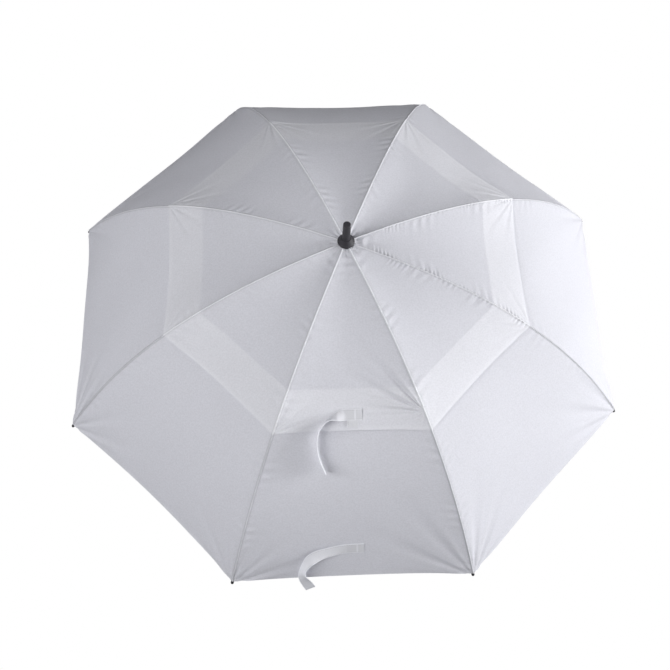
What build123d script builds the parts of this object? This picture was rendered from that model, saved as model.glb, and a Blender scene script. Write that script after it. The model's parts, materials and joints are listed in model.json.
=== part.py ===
"""Golf umbrella with a vented double canopy, shown open.

Z runs up the shaft, and the origin is at the centre of the handle's flat butt. All sizes are in millimetres.
Eight ribs stand at 22.5 degrees and every 45 degrees from there, so that one panel faces -Y.
"""

import os
from math import atan2, cos, degrees, radians, sin, sqrt, tan

from build123d import *

# --- driving dimensions -------------------------------------------------------------------------
RIBS = 8
PITCH = 360 / RIBS
HALF_PITCH = PITCH / 2

LENGTH = 1000.0  # handle butt to ferrule tip
CANOPY_TOP = 936.0  # top of the cloth where it meets the shaft
TIP_RADIUS = 640.0  # rib tips, which makes the ribs 762 mm long, a 60 inch arc over the top
DOME = 333.0  # drop from the cloth's top to the rib tips
FLATNESS = 0.53  # share of the drop that grows with the square of the radius
CLOTH = 0.5
LAYER_STEP = 1.7  # the lower canopy lies this far under the upper one
HOLE_SHARE = 0.49  # vent hole of the lower canopy, as a share of the tip radius
HEM_SHARE = 0.615  # outer hem of the upper canopy
CORNER_RADIUS = 636.0  # cloth corners at the rib tips
CLOTH_HOLE = 8.0

SHAFT = 7.0  # outer radius of the shaft tube
SHAFT_WALL = 1.0
SHAFT_TOP = 974.0
FIT = 0.05  # radial gap of sliding and push fits

ROD = 1.9  # rib rod radius
RIB_DROP = 6.2  # rib centre line under the cloth
FLEX_SHARE = 0.635  # where the springy rib's bend is taken up
EYE = 2.6
EYE_HOLE = 0.95
EYE_THICK = 2.4
EYE_LENGTH = 10.0
WIRE = 0.6
SLOT = 3.4

CROWN_RING = 11.5  # radius of the wire that the ribs turn on
CROWN_PIVOT = CANOPY_TOP - 6.5
CROWN_RADIUS = 15.5

JOINT_SHARE = 0.45  # where each stretcher meets its rib
JOINT_DROP = 7.0
STRETCHER_ROD = 2.0

RUNNER_RING = 13.0
RUNNER_PIVOT = CANOPY_TOP - 285.0
RUNNER_FLANGE = 17.0
RUNNER_NECK = 9.0
RUNNER_LENGTH = 98.0
CLOSED_FLEX_RADIUS = 60.0  # where the bend of a folded rib lies, from the shaft's axis
CLOSED_TIP_RADIUS = 29.0

PIN_DROP = 30.0  # drive pin under the stretcher ring
PIN = 1.5
PLUNGER = 5.8
PLUNGER_LENGTH = 18.0
SEAT_Z = 55.0  # top of the plug that the main spring stands on
SEAT_HEIGHT = 14.0
SPRING_WIRE = 0.6
SPRING_RADIUS = 4.7
SPRING_PITCH = 13.0

GRIP = 17.0
GRIP_TOP = 180.0
END_CAP = 8.0
END_CAP_STEM = 25.0
COLLAR_TOP = 228.0
COLLAR = 16.5
RECESS_FLOOR = 205.0
RECESS = RUNNER_NECK + 0.3

BUTTON_TRAVEL = 2.2
BUTTON_LOW = 211.5
BUTTON_HEIGHT = 9.0
BUTTON_RING = 12.5
BUTTON_SHIFT = 1.0  # the ring's centre stands this far to the front of the shaft's axis
BUTTON_HALF_WIDTH = 4.5
LATCH_DEPTH = 1.2
LATCH_HALF_WIDTH = 2.5

STRAP_WIDTH = 22.0
STRAP_THICK = 0.8
STRAP_LIFT = 1.2

os.makedirs("parts", exist_ok=True)


# --- the curve of the cloth over a rib -----------------------------------------------------------
def cloth_z(r):
    """Height of the cloth over a rib: it falls with the square and the fourth power of the radius."""
    share = r / TIP_RADIUS
    return CANOPY_TOP - DOME * (FLATNESS * share**2 + (1 - FLATNESS) * share**4)


def cloth_slope(r):
    share = r / TIP_RADIUS
    return -DOME * (2 * FLATNESS * share + 4 * (1 - FLATNESS) * share**3) / TIP_RADIUS


def under_cloth(r, drop):
    """The point (radius, z) that lies drop under the cloth, square to it."""
    slope = cloth_slope(r)
    scale = drop / sqrt(1 + slope**2)
    return Vector(r + slope * scale, cloth_z(r) - scale)


def tangent_at(r):
    return Vector(1, cloth_slope(r)).normalized()


def rib_plane(azimuth):
    """The upright plane through the shaft's axis: x is the radius, y is up."""
    a = radians(azimuth)
    return Plane(origin=(0, 0, 0), x_dir=(cos(a), sin(a), 0), z_dir=(sin(a), -cos(a), 0))


def square_to(plane, point, tangent):
    """The plane through a point of an upright plane, square to a tangent in it."""
    ahead = plane.from_local_coords(point + tangent) - plane.from_local_coords(point)
    return Plane(origin=plane.from_local_coords(point), z_dir=ahead)


def bend_through(points, tangent):
    """Tangent arcs through the points. An arc's end tangent is its start tangent mirrored in the chord."""
    for start, end in zip(points, points[1:]):
        TangentArc(start, end, tangent=tangent)
        chord = (end - start).normalized()
        tangent = chord * (2 * chord.dot(tangent)) - tangent


def spaced(first, last, steps):
    return [first + (last - first) * i / steps for i in range(steps + 1)]


def save(piece, name):
    piece.part.label = name
    export_step(piece.part, f"parts/{name}.step")


AZIMUTHS = [HALF_PITCH + PITCH * i for i in range(RIBS)]

# --- shaft ---------------------------------------------------------------------------------------
pivot = Vector(CROWN_RING, CROWN_PIVOT)
flex = under_cloth(FLEX_SHARE * TIP_RADIUS, RIB_DROP)
tip = under_cloth(TIP_RADIUS, RIB_DROP)
joint_seat = under_cloth(JOINT_SHARE * TIP_RADIUS, RIB_DROP)
joint_pin = under_cloth(JOINT_SHARE * TIP_RADIUS, RIB_DROP + JOINT_DROP)
runner_pin = Vector(RUNNER_RING, RUNNER_PIVOT)
STRETCHER = (joint_pin - runner_pin).length


def heading(v):
    return degrees(atan2(v.Y, v.X))


def folded_angle(from_radius, to_radius, length):
    """Heading of a link that hangs from one radius down to another."""
    return -90 + degrees(atan2(to_radius - from_radius, sqrt(length**2 - (to_radius - from_radius) ** 2)))


arm = flex - pivot
RIB_FOLD = heading(arm) - folded_angle(CROWN_RING, CLOSED_FLEX_RADIUS, arm.length)
outer = tip - flex
OUTER_FOLD = heading(outer) - folded_angle(CLOSED_FLEX_RADIUS, CLOSED_TIP_RADIUS, outer.length)
to_joint = (joint_pin - pivot).rotate(Axis.Z, -RIB_FOLD)
joint_folded = pivot + to_joint
STRETCHER_FOLD = heading(joint_pin - runner_pin) - heading(
    Vector(
        joint_folded.X - RUNNER_RING,
        sqrt(STRETCHER**2 - (joint_folded.X - RUNNER_RING) ** 2),
    )
)
runner_folded_z = joint_folded.Y - sqrt(STRETCHER**2 - (joint_folded.X - RUNNER_RING) ** 2)
TRAVEL = RUNNER_PIVOT - runner_folded_z
SHAFT_SLOT_LOW = runner_folded_z - PIN_DROP - PIN - 1.0
SHAFT_SLOT_HIGH = RUNNER_PIVOT - PIN_DROP + PIN + 1.0

with BuildPart() as shaft_tube:
    with BuildSketch(Plane.XY.offset(END_CAP)):
        Circle(SHAFT)
        Circle(SHAFT - SHAFT_WALL, mode=Mode.SUBTRACT)
    extrude(amount=SHAFT_TOP - END_CAP)
    with BuildSketch(Plane.YZ):
        with Locations((0, (SHAFT_SLOT_LOW + SHAFT_SLOT_HIGH) / 2)):
            SlotOverall(SHAFT_SLOT_HIGH - SHAFT_SLOT_LOW, 2 * PIN + 0.6, rotation=90)
    extrude(amount=2 * SHAFT, both=True, mode=Mode.SUBTRACT)
save(shaft_tube, "shaft_tube")

with BuildPart() as spring_seat:
    with BuildSketch(Plane.XY.offset(SEAT_Z - SEAT_HEIGHT)):
        Circle(SHAFT - SHAFT_WALL - FIT)
    extrude(amount=SEAT_HEIGHT)
    chamfer(spring_seat.edges().filter_by(GeomType.CIRCLE), 0.6)
save(spring_seat, "spring_seat")

plunger_low = RUNNER_PIVOT - PIN_DROP - PLUNGER_LENGTH / 2
spring_height = plunger_low - SEAT_Z - 2 * SPRING_WIRE - 0.4
with BuildPart() as main_spring:
    with BuildLine():
        coil = Helix(SPRING_PITCH, spring_height, SPRING_RADIUS, center=(0, 0, SEAT_Z + SPRING_WIRE + 0.2))
    with BuildSketch(Plane(origin=coil @ 0, z_dir=coil % 0)):
        Circle(SPRING_WIRE)
    sweep(is_frenet=True)
save(main_spring, "main_spring")

# --- handle --------------------------------------------------------------------------------------
with BuildPart() as handle_grip:
    with BuildSketch(Plane.XY.offset(END_CAP)):
        Circle(GRIP)
        Circle(SHAFT + FIT, mode=Mode.SUBTRACT)
    extrude(amount=GRIP_TOP - END_CAP)
    rims = handle_grip.edges().filter_by(GeomType.CIRCLE)
    fillet(rims.group_by(Axis.Z)[-1].sort_by(SortBy.RADIUS)[-1], 2.5)
save(handle_grip, "handle_grip")

with BuildPart() as handle_end_cap:
    with BuildSketch():
        Circle(GRIP - 0.4)
    extrude(amount=END_CAP)
    fillet(handle_end_cap.faces().sort_by(Axis.Z)[0].edges(), 3)
    with BuildSketch(Plane.XY.offset(END_CAP)):
        Circle(SHAFT - SHAFT_WALL - FIT)
    extrude(amount=END_CAP_STEM)
save(handle_end_cap, "handle_end_cap")

button_centre = (0, -BUTTON_SHIFT)
with BuildPart() as handle_collar:
    with BuildSketch(Plane.XY.offset(GRIP_TOP)):
        Circle(COLLAR)
        Circle(SHAFT + FIT, mode=Mode.SUBTRACT)
    extrude(amount=COLLAR_TOP - GRIP_TOP)
    fillet(handle_collar.edges().group_by(Axis.Z)[-1].sort_by(SortBy.RADIUS)[-1], 3)
    with BuildSketch(Plane.XY.offset(RECESS_FLOOR)):
        Circle(RECESS)
    extrude(amount=COLLAR_TOP - RECESS_FLOOR, mode=Mode.SUBTRACT)
    with BuildSketch(Plane.XY.offset(BUTTON_LOW - 0.4)):
        with Locations((0, -BUTTON_SHIFT + BUTTON_TRAVEL / 2)):
            SlotOverall(2 * BUTTON_RING + BUTTON_TRAVEL + 0.8, 2 * BUTTON_RING + 0.8, rotation=90)
        with Locations((0, -COLLAR / 2)):
            Rectangle(2 * BUTTON_HALF_WIDTH + 0.8, COLLAR + 2)
    extrude(amount=BUTTON_HEIGHT + 0.8, mode=Mode.SUBTRACT)
    with BuildSketch(Plane.XZ.offset(-BUTTON_RING + BUTTON_SHIFT)):
        with Locations((0, BUTTON_LOW + BUTTON_HEIGHT / 2)):
            Circle(2.4)
    extrude(amount=-(COLLAR - BUTTON_RING + BUTTON_SHIFT - 1.0), mode=Mode.SUBTRACT)
save(handle_collar, "handle_collar")

latch_reach = RUNNER_NECK - LATCH_DEPTH
with BuildPart() as release_button:
    with BuildSketch(Plane.XY.offset(BUTTON_LOW)):
        with Locations(button_centre):
            Circle(BUTTON_RING)
        with Locations((0, -BUTTON_SHIFT - BUTTON_RING / 2 - 3)):
            Rectangle(2 * BUTTON_HALF_WIDTH, BUTTON_RING + 1)
        with Locations((0, -BUTTON_TRAVEL / 2 + 0.2)):
            SlotOverall(
                2 * RUNNER_NECK + BUTTON_TRAVEL + 1.0, 2 * RUNNER_NECK + 0.6, rotation=90, mode=Mode.SUBTRACT
            )
    extrude(amount=BUTTON_HEIGHT)
    with BuildSketch(Plane.XY.offset(BUTTON_LOW + 2.5)):
        with Locations((0, latch_reach + 1.5)):
            Rectangle(2 * LATCH_HALF_WIDTH, 3)
    extrude(amount=4)
    fillet(release_button.faces().sort_by(Axis.Y)[0].edges(), 1.2)
save(release_button, "release_button")

spring_room = COLLAR - 1.0 - (BUTTON_RING - BUTTON_SHIFT)
with BuildPart() as button_spring:
    with BuildLine():
        turns = Helix(
            1.1,
            spring_room - 0.9,
            1.6,
            center=(0, BUTTON_RING - BUTTON_SHIFT + 0.45, BUTTON_LOW + BUTTON_HEIGHT / 2),
            direction=(0, 1, 0),
        )
    with BuildSketch(Plane(origin=turns @ 0, z_dir=turns % 0)):
        Circle(0.22)
    sweep(is_frenet=True)
save(button_spring, "button_spring")

# --- crown and top -------------------------------------------------------------------------------
with BuildPart() as crown:
    with BuildSketch(Plane.XY.offset(CROWN_PIVOT - 7)):
        Circle(CROWN_RADIUS)
        Circle(SHAFT + FIT, mode=Mode.SUBTRACT)
        with PolarLocations(CROWN_RADIUS - 3.5, RIBS, start_angle=HALF_PITCH):
            Rectangle(8, SLOT, mode=Mode.SUBTRACT)
    extrude(amount=12)
    with BuildSketch(Plane.XY.offset(CROWN_PIVOT - WIRE - 0.3)):
        Circle(CROWN_RADIUS + 1)
        Circle(CROWN_RING - WIRE - 0.3, mode=Mode.SUBTRACT)
    extrude(amount=2 * WIRE + 0.6, mode=Mode.SUBTRACT)
save(crown, "crown")

with BuildPart() as crown_wire:
    with BuildSketch(Plane.XZ):
        with Locations((CROWN_RING, CROWN_PIVOT)):
            Circle(WIRE)
    revolve(axis=Axis.Z)
save(crown_wire, "crown_wire")

cap_low = CANOPY_TOP + 0.3
with BuildPart() as top_cap:
    with BuildSketch(Plane.XZ):
        with BuildLine():
            Polyline(
                (SHAFT + FIT, cap_low + 14),
                (SHAFT + FIT, cap_low),
                (17, cap_low),
                (17, cap_low + 2.6),
                (14.5, cap_low + 5.2),
                (9.6, cap_low + 13),
                (9.6, cap_low + 14),
                close=True,
            )
        make_face()
        fillet(vertices().sort_by(Axis.X)[-2:], 1.2)
    revolve(axis=Axis.Z)
save(top_cap, "top_cap")

with BuildPart() as ferrule:
    with BuildSketch(Plane.XZ):
        with BuildLine():
            Polyline(
                (0, SHAFT_TOP + 0.5),
                (SHAFT + FIT, SHAFT_TOP + 0.5),
                (SHAFT + FIT, cap_low + 14.2),
                (8.6, cap_low + 14.2),
                (7.8, cap_low + 22),
                (7.4, LENGTH),
                (0, LENGTH),
                close=True,
            )
        make_face()
    revolve(axis=Axis.Z)
    fillet(ferrule.faces().sort_by(Axis.Z)[-1].edges(), 1.5)
save(ferrule, "ferrule")


# --- canopies ------------------------------------------------------------------------------------
def gore_outline(inner_radius, outer_radius, drop, steps):
    """Closed section of one layer of cloth along the middle of a panel, as a band of even thickness."""
    flat = cos(radians(HALF_PITCH))
    radii = spaced(inner_radius, outer_radius, steps)

    def middle(r, depth):
        p = under_cloth(r, depth)
        return Vector(p.X * flat, p.Y)

    def lean(r):
        return Vector(flat, cloth_slope(r)).normalized()

    above = [middle(r, drop) for r in radii]
    below = [middle(r, drop + CLOTH) for r in radii]
    bend_through(above, lean(inner_radius))
    Line(above[-1], below[-1])
    bend_through(below[::-1], lean(outer_radius) * -1)
    Line(below[0], above[0])


def build_canopy(name, inner_radius, outer_radius, drop, steps):
    reach = outer_radius * tan(radians(HALF_PITCH))
    with BuildPart() as gore:
        with BuildSketch(rib_plane(0)):
            with BuildLine():
                gore_outline(inner_radius, outer_radius, drop, steps)
            make_face()
        extrude(amount=reach, both=True)
        split(bisect_by=rib_plane(HALF_PITCH), keep=Keep.TOP)
        split(bisect_by=rib_plane(-HALF_PITCH), keep=Keep.BOTTOM)
    with BuildPart() as canopy:
        with PolarLocations(0, RIBS, start_angle=0):
            add(gore.part)
        with BuildSketch(Plane.XY.offset(CANOPY_TOP - DOME)):
            Circle(CLOTH_HOLE)
        extrude(amount=2 * DOME, mode=Mode.SUBTRACT)
    save(canopy, name)
    return canopy


canopy_upper = build_canopy("canopy_upper", CLOTH_HOLE / 2, HEM_SHARE * TIP_RADIUS, 0.0, 4)
canopy_lower = build_canopy("canopy_lower", HOLE_SHARE * TIP_RADIUS, CORNER_RADIUS, LAYER_STEP, 4)


# --- tie straps on the front panel ---------------------------------------------------------------
def panel_plane(r, lift):
    """The plane on the front panel at the cloth's radius r: x runs along the hem, y runs up the slope."""
    p = under_cloth(r, -lift)
    slope = cloth_slope(r) / cos(radians(HALF_PITCH))
    return Plane(
        origin=(0, -p.X * cos(radians(HALF_PITCH)), p.Y),
        x_dir=(1, 0, 0),
        z_dir=Vector(0, slope, 1).normalized(),
    )


def build_strap(name, r, right, left, hang_top, hang_bottom):
    """A strap that lies along the hem from right to left, and then turns down the slope."""
    with BuildPart() as strap:
        with BuildSketch(panel_plane(r, STRAP_LIFT)):
            with Locations(((left + right) / 2, hang_top)):
                Rectangle(right - left, STRAP_WIDTH)
            with Locations((left + STRAP_WIDTH / 2, (hang_top + hang_bottom) / 2)):
                Rectangle(STRAP_WIDTH, hang_top - hang_bottom)
        extrude(amount=STRAP_THICK)
    save(strap, name)
    return strap


tie_strap_upper = build_strap("tie_strap_upper", 0.63 * TIP_RADIUS, 20, -56, 42, -72)
tie_strap_lower = build_strap("tie_strap_lower", 0.95 * TIP_RADIUS, 24, -112, 6, -34)

# --- runner and its drive ------------------------------------------------------------------------
runner_low = RUNNER_PIVOT - RUNNER_LENGTH
window_low = runner_low + BUTTON_LOW + 2.5 - (runner_folded_z - RUNNER_LENGTH)
with BuildPart() as runner:
    with BuildSketch(Plane.XY.offset(runner_low)):
        Circle(RUNNER_NECK)
    extrude(amount=RUNNER_LENGTH - 5)
    with BuildSketch(Plane.XY.offset(RUNNER_PIVOT - 10)):
        Circle(RUNNER_FLANGE)
    extrude(amount=15)
    rims = runner.edges().filter_by(GeomType.CIRCLE)
    chamfer(rims.group_by(Axis.Z)[1].sort_by(SortBy.RADIUS)[-1], 4)
    with BuildSketch(Plane.XY.offset(RUNNER_PIVOT - 3.6)):
        with PolarLocations(RUNNER_FLANGE - 3.0, RIBS, start_angle=HALF_PITCH):
            Rectangle(9, SLOT)
    extrude(amount=10, mode=Mode.SUBTRACT)
    with BuildSketch(Plane.XY.offset(RUNNER_PIVOT - WIRE - 0.3)):
        Circle(RUNNER_FLANGE + 1)
        Circle(RUNNER_RING - WIRE - 0.3, mode=Mode.SUBTRACT)
    extrude(amount=2 * WIRE + 0.6, mode=Mode.SUBTRACT)
    with BuildSketch(Plane.XY.offset(runner_low - 1)):
        Circle(SHAFT + FIT)
    extrude(amount=RUNNER_LENGTH + 10, mode=Mode.SUBTRACT)
    with BuildSketch(Plane.YZ):
        with Locations((0, RUNNER_PIVOT - PIN_DROP)):
            Circle(PIN + 0.02)
    extrude(amount=RUNNER_FLANGE, both=True, mode=Mode.SUBTRACT)
    with BuildSketch(Plane.XZ):
        with Locations((0, window_low + 2)):
            Rectangle(2 * LATCH_HALF_WIDTH + 1.2, 5.2)
    extrude(amount=-RUNNER_FLANGE, mode=Mode.SUBTRACT)
save(runner, "runner")

with BuildPart() as runner_wire:
    with BuildSketch(Plane.XZ):
        with Locations((RUNNER_RING, RUNNER_PIVOT)):
            Circle(WIRE)
    revolve(axis=Axis.Z)
save(runner_wire, "runner_wire")

with BuildPart() as drive_pin:
    with BuildSketch(Plane.YZ):
        with Locations((0, RUNNER_PIVOT - PIN_DROP)):
            Circle(PIN)
    extrude(amount=RUNNER_NECK, both=True)
save(drive_pin, "drive_pin")

with BuildPart() as spring_plunger:
    with BuildSketch(Plane.XY.offset(plunger_low)):
        Circle(PLUNGER)
    extrude(amount=PLUNGER_LENGTH)
    chamfer(spring_plunger.edges(), 0.5)
    with BuildSketch(Plane.YZ):
        with Locations((0, RUNNER_PIVOT - PIN_DROP)):
            Circle(PIN + 0.02)
    extrude(amount=PLUNGER, both=True, mode=Mode.SUBTRACT)
save(spring_plunger, "spring_plunger")

# --- ribs, stretchers and tips --------------------------------------------------------------------
rod_start = pivot + (under_cloth(CROWN_RING + EYE_LENGTH, RIB_DROP) - pivot).normalized() * (EYE_LENGTH - 1)
inner_radii = spaced(rod_start.X, FLEX_SHARE * TIP_RADIUS - 2.2, 4)
outer_radii = spaced(FLEX_SHARE * TIP_RADIUS, CORNER_RADIUS + 1, 3)


with BuildLine() as inner_curve:
    bend_through([rod_start] + [under_cloth(r, RIB_DROP) for r in inner_radii[1:]], tangent_at(rod_start.X))

with BuildLine() as outer_curve:
    bend_through([under_cloth(r, RIB_DROP) for r in outer_radii], tangent_at(outer_radii[0]))


def draw_eye(centre, toward):
    """Outline of a flat tab with a round end on the pivot and a hole for the wire or rivet."""
    with Locations((centre + toward) * 0.5):
        SlotCenterToCenter((toward - centre).length, 2 * EYE, rotation=heading(toward - centre))
    with Locations(centre):
        Circle(EYE_HOLE, mode=Mode.SUBTRACT)


for number, azimuth in enumerate(AZIMUTHS, start=1):
    plane = rib_plane(azimuth)

    with BuildPart() as rib_inner:
        with BuildSketch(square_to(plane, rod_start, tangent_at(rod_start.X))):
            Circle(ROD)
        sweep(path=plane * inner_curve.line)
        with BuildSketch(plane):
            draw_eye(pivot, rod_start + (rod_start - pivot).normalized() * 2)
        extrude(amount=EYE_THICK / 2, both=True)
    save(rib_inner, f"rib_inner_{number}")

    with BuildPart() as rib_outer:
        with BuildSketch(square_to(plane, flex, tangent_at(outer_radii[0]))):
            Circle(ROD)
        sweep(path=plane * outer_curve.line)
        with Locations(plane.from_local_coords(flex)):
            Sphere(ROD)
    save(rib_outer, f"rib_outer_{number}")

    with BuildPart() as rib_tip:
        end = under_cloth(CORNER_RADIUS + 1, RIB_DROP)
        along = tangent_at(CORNER_RADIUS + 1)
        with BuildSketch(square_to(plane, end - along * 8, along)):
            Circle(3.2)
        extrude(amount=16)
        fillet(rib_tip.faces().sort_by(Axis.Z)[0].edges(), 2.4)
        with BuildSketch(square_to(plane, end - along * 9, along)):
            Circle(ROD + 0.02)
        extrude(amount=9.05, mode=Mode.SUBTRACT)
    save(rib_tip, f"rib_tip_{number}")

    with BuildPart() as rib_joint:
        along = tangent_at(JOINT_SHARE * TIP_RADIUS)
        with BuildSketch(plane):
            with Locations((joint_seat + joint_pin) * 0.5):
                SlotCenterToCenter(JOINT_DROP, 6.4, rotation=heading(joint_pin - joint_seat))
        extrude(amount=3.3, both=True)
        with BuildSketch(square_to(plane, joint_seat - along * 9, along)):
            Circle(3.4)
        extrude(amount=18)
        with BuildSketch(plane):
            with Locations(joint_pin):
                Circle(4.4)
        extrude(amount=SLOT / 2, both=True, mode=Mode.SUBTRACT)
        with BuildSketch(plane):
            with Locations(joint_pin):
                Circle(EYE_HOLE - 0.15)
        extrude(amount=3.3, both=True)
        with BuildSketch(square_to(plane, joint_seat - along * 10, along)):
            Circle(ROD + 0.1)
        extrude(amount=20, mode=Mode.SUBTRACT)
    save(rib_joint, f"rib_joint_{number}")

    with BuildPart() as stretcher:
        reach = (runner_pin - joint_pin).normalized()
        rod_from = joint_pin + reach * EYE_LENGTH
        rod_to = runner_pin - reach * EYE_LENGTH
        with BuildSketch(square_to(plane, rod_from, reach)):
            Circle(STRETCHER_ROD)
        extrude(amount=(rod_to - rod_from).length)
        with BuildSketch(plane):
            draw_eye(joint_pin, rod_from + reach * 2)
            draw_eye(runner_pin, rod_to - reach * 2)
        extrude(amount=EYE_THICK / 2, both=True)
    save(stretcher, f"stretcher_{number}")
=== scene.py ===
"""Golf umbrella with a vented double canopy: cloth, straps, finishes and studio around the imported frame."""

import json
from math import cos, radians, sin

import bpy
import numpy as np
from bpy.props import FloatProperty, FloatVectorProperty, PointerProperty, StringProperty
from mathutils import Matrix, Vector

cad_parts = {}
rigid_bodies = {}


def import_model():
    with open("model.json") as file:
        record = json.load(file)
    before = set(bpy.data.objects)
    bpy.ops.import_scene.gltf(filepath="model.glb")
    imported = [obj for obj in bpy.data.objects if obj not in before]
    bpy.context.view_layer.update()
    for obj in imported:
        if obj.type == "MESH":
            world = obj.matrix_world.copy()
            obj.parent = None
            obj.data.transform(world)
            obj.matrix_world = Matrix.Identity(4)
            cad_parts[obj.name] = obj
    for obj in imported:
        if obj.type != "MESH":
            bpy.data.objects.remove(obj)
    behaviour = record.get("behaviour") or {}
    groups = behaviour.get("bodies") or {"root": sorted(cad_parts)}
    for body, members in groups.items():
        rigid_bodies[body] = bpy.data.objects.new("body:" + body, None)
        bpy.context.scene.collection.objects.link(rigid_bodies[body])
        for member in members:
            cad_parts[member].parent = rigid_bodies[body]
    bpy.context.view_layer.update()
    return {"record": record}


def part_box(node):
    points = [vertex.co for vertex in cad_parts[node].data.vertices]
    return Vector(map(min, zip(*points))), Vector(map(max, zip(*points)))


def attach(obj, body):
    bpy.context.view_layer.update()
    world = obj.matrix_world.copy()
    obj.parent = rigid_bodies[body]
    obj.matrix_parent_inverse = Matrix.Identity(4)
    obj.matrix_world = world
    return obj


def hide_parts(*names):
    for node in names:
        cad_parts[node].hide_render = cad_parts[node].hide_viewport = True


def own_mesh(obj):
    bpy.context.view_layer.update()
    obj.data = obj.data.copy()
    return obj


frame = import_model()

bl_info = {
    "name": "Vented golf umbrella",
    "version": (1, 0, 0),
    "blender": (4, 5, 0),
    "location": "3D View > Sidebar > Umbrella",
    "description": "Cloth, tie straps, finishes and studio of an open golf umbrella with a double canopy",
    "category": "Add Mesh",
}

RIBS = 8
PITCH = 2 * np.pi / RIBS
FIRST_RIB = PITCH / 2
FRONT_GORE = 5  # the gore that faces -Y, between the sixth and the seventh rib
CANOPY_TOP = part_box("canopy_upper")[1][2]


# --- values that the panel shows ------------------------------------------------------------------
def metres(name, description, value):
    return FloatProperty(name=name, description=description, default=value, unit="LENGTH")


def fraction(name, description, value):
    return FloatProperty(name=name, description=description, default=value)


def paint(name, description, value):
    return FloatVectorProperty(name=name, description=description, subtype="COLOR", size=3, default=value)


def degrees(name, description, value):
    return FloatProperty(name=name, description=description, subtype="ANGLE", default=radians(value))


class UmbrellaSizes(bpy.types.PropertyGroup):
    """Sizes of the cloth, in metres. A share is of the tip radius."""

    tip_radius: metres("Tip radius", "Radius of the rib tips", 0.640)
    dome: metres("Dome", "Drop of the cloth from the shaft to the rib tips", 0.333)
    flatness: fraction("Flatness", "Share of the drop that grows with the square of the radius", 0.53)
    corner_radius: metres("Corner radius", "Radius of the cloth's corners", 0.636)
    shaft_hole: metres("Shaft hole", "Radius of the hole for the shaft", 0.0085)
    vent_share: fraction("Vent", "Share at the lower canopy's vent hole", 0.49)
    hem_share: fraction("Upper hem", "Share at the upper canopy's hem", 0.615)
    layer_step: metres("Layer step", "Depth of the lower canopy under the upper one", 0.0017)
    cloth: metres("Cloth", "Thickness of the cloth", 0.0004)
    hem: metres("Hem", "Length of the doubled cloth at a hem", 0.0085)
    sag: metres("Sag", "How far a panel's middle sinks between its ribs", 0.009)
    upper_scallop: metres("Upper scallop", "How far the upper hem curves in", 0.003)
    lower_scallop: metres("Lower scallop", "How far the lower hem curves in", 0.009)
    vent_lift: metres("Vent lift", "How far the upper hem stands off the lower canopy", 0.0026)
    strap_width: metres("Strap width", "Width of the tie straps", 0.0215)
    strap_thickness: metres("Strap thickness", "Thickness of the tie straps", 0.0011)
    rib_drop: metres("Rib drop", "Depth of a rib's middle line under the cloth", 0.0062)
    tape_radius: metres("Tape radius", "Radius of the tapes round the ribs", 0.0025)


class UmbrellaColours(bpy.types.PropertyGroup):
    """Colours of the finishes."""

    cloth: paint("Cloth", "White pongee", (0.79, 0.793, 0.838))
    seam: paint("Seam", "Doubled cloth at seams and hems", (0.87, 0.875, 0.91))
    strap: paint("Strap", "Tie straps", (0.80, 0.805, 0.84))
    cap: paint("Cap", "Top cap and ferrule", (0.032, 0.031, 0.036))
    black: paint("Black", "Rods, joints, tips and tube", (0.012, 0.012, 0.014))
    foam: paint("Foam", "Handle foam", (0.022, 0.022, 0.023))
    button: paint("Button", "Release button", (0.30, 0.31, 0.33))
    steel: paint("Steel", "Wires, pin and springs", (0.55, 0.55, 0.57))


class UmbrellaStudio(bpy.types.PropertyGroup):
    """Camera and floor."""

    distance: metres("Distance", "Camera to the dome", 2.048)
    elevation: degrees("Elevation", "Camera above the horizon", 61.39)
    swing: degrees("Swing", "Camera round the shaft from the front", -5.31)
    roll: degrees("Roll", "Camera about its own axis", 3.35)
    pan: degrees("Pan", "Aim to the side of the dome", 0.326)
    tilt: degrees("Tilt", "Aim below the dome", -3.146)
    lens: FloatProperty(name="Lens", description="Focal length for a 36 mm frame", default=51.9)
    backdrop: StringProperty(name="Floor", description="Name of the floor", default="studio_floor")


def sizes():
    return bpy.context.scene.umbrella_sizes


def colours():
    return bpy.context.scene.umbrella_colours


# --- the cloth's surface --------------------------------------------------------------------------
def bump(x, width):
    """A bell: one at nothing, falling off over width."""
    return np.exp(-((x / width) ** 2))


def cloth_height(r):
    """Height over a rib: it falls with the square and the fourth power of the radius."""
    s = sizes()
    share = r / s.tip_radius
    return CANOPY_TOP - s.dome * (s.flatness * share**2 + (1 - s.flatness) * share**4)


def cloth_slope(r):
    s = sizes()
    share = r / s.tip_radius
    return -s.dome * (2 * s.flatness * share + 4 * (1 - s.flatness) * share**3) / s.tip_radius


def arc_from_shaft(r):
    """Length along the cloth from the shaft to each radius, summed over short chords."""
    steps = np.linspace(0.0, float(np.max(r)) + 1e-6, 800)
    length = np.concatenate([[0.0], np.cumsum(np.hypot(np.diff(steps), np.diff(cloth_height(steps))))])
    return np.interp(r, steps, length)


def rib_direction(number):
    """Outward unit vector of a rib, as x, y and z arrays."""
    a = FIRST_RIB + PITCH * number
    return np.array([cos(a), sin(a), 0.0])


# Each fan of folds: how far it reaches, how fast its wave turns with the angle, and its height.
FANS = {"corner": (0.085, 13, 0.00055), "tip": (0.15, 13, 0.0013), "crown": (0.12, 7, 0.0005)}
# How deep the folds at the upper hem's corners are, by gore and by its first or second rib. Elsewhere it is 1.
CORNER_FOLDS = {(4, 0): 1.0, (4, 1): 0.4, (5, 0): 1.5, (5, 1): 5.0, (6, 0): 0.2}
# How far up the seam some of those folds start.
CORNER_RISE = {(5, 1): 0.038}
# How hard the thread gathers the cloth, by rib, and how hard it does elsewhere.
TIGHT_SEAMS = {0: 1.2, 1: 1.0, 7: 2.0}
LOOSE_SEAM = 0.3
# How deep the lower hem's curve is, by gore. Elsewhere it is 1.
HEM_CURVES = {3: 1.3, 5: 0.35, 6: 0.1}


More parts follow.
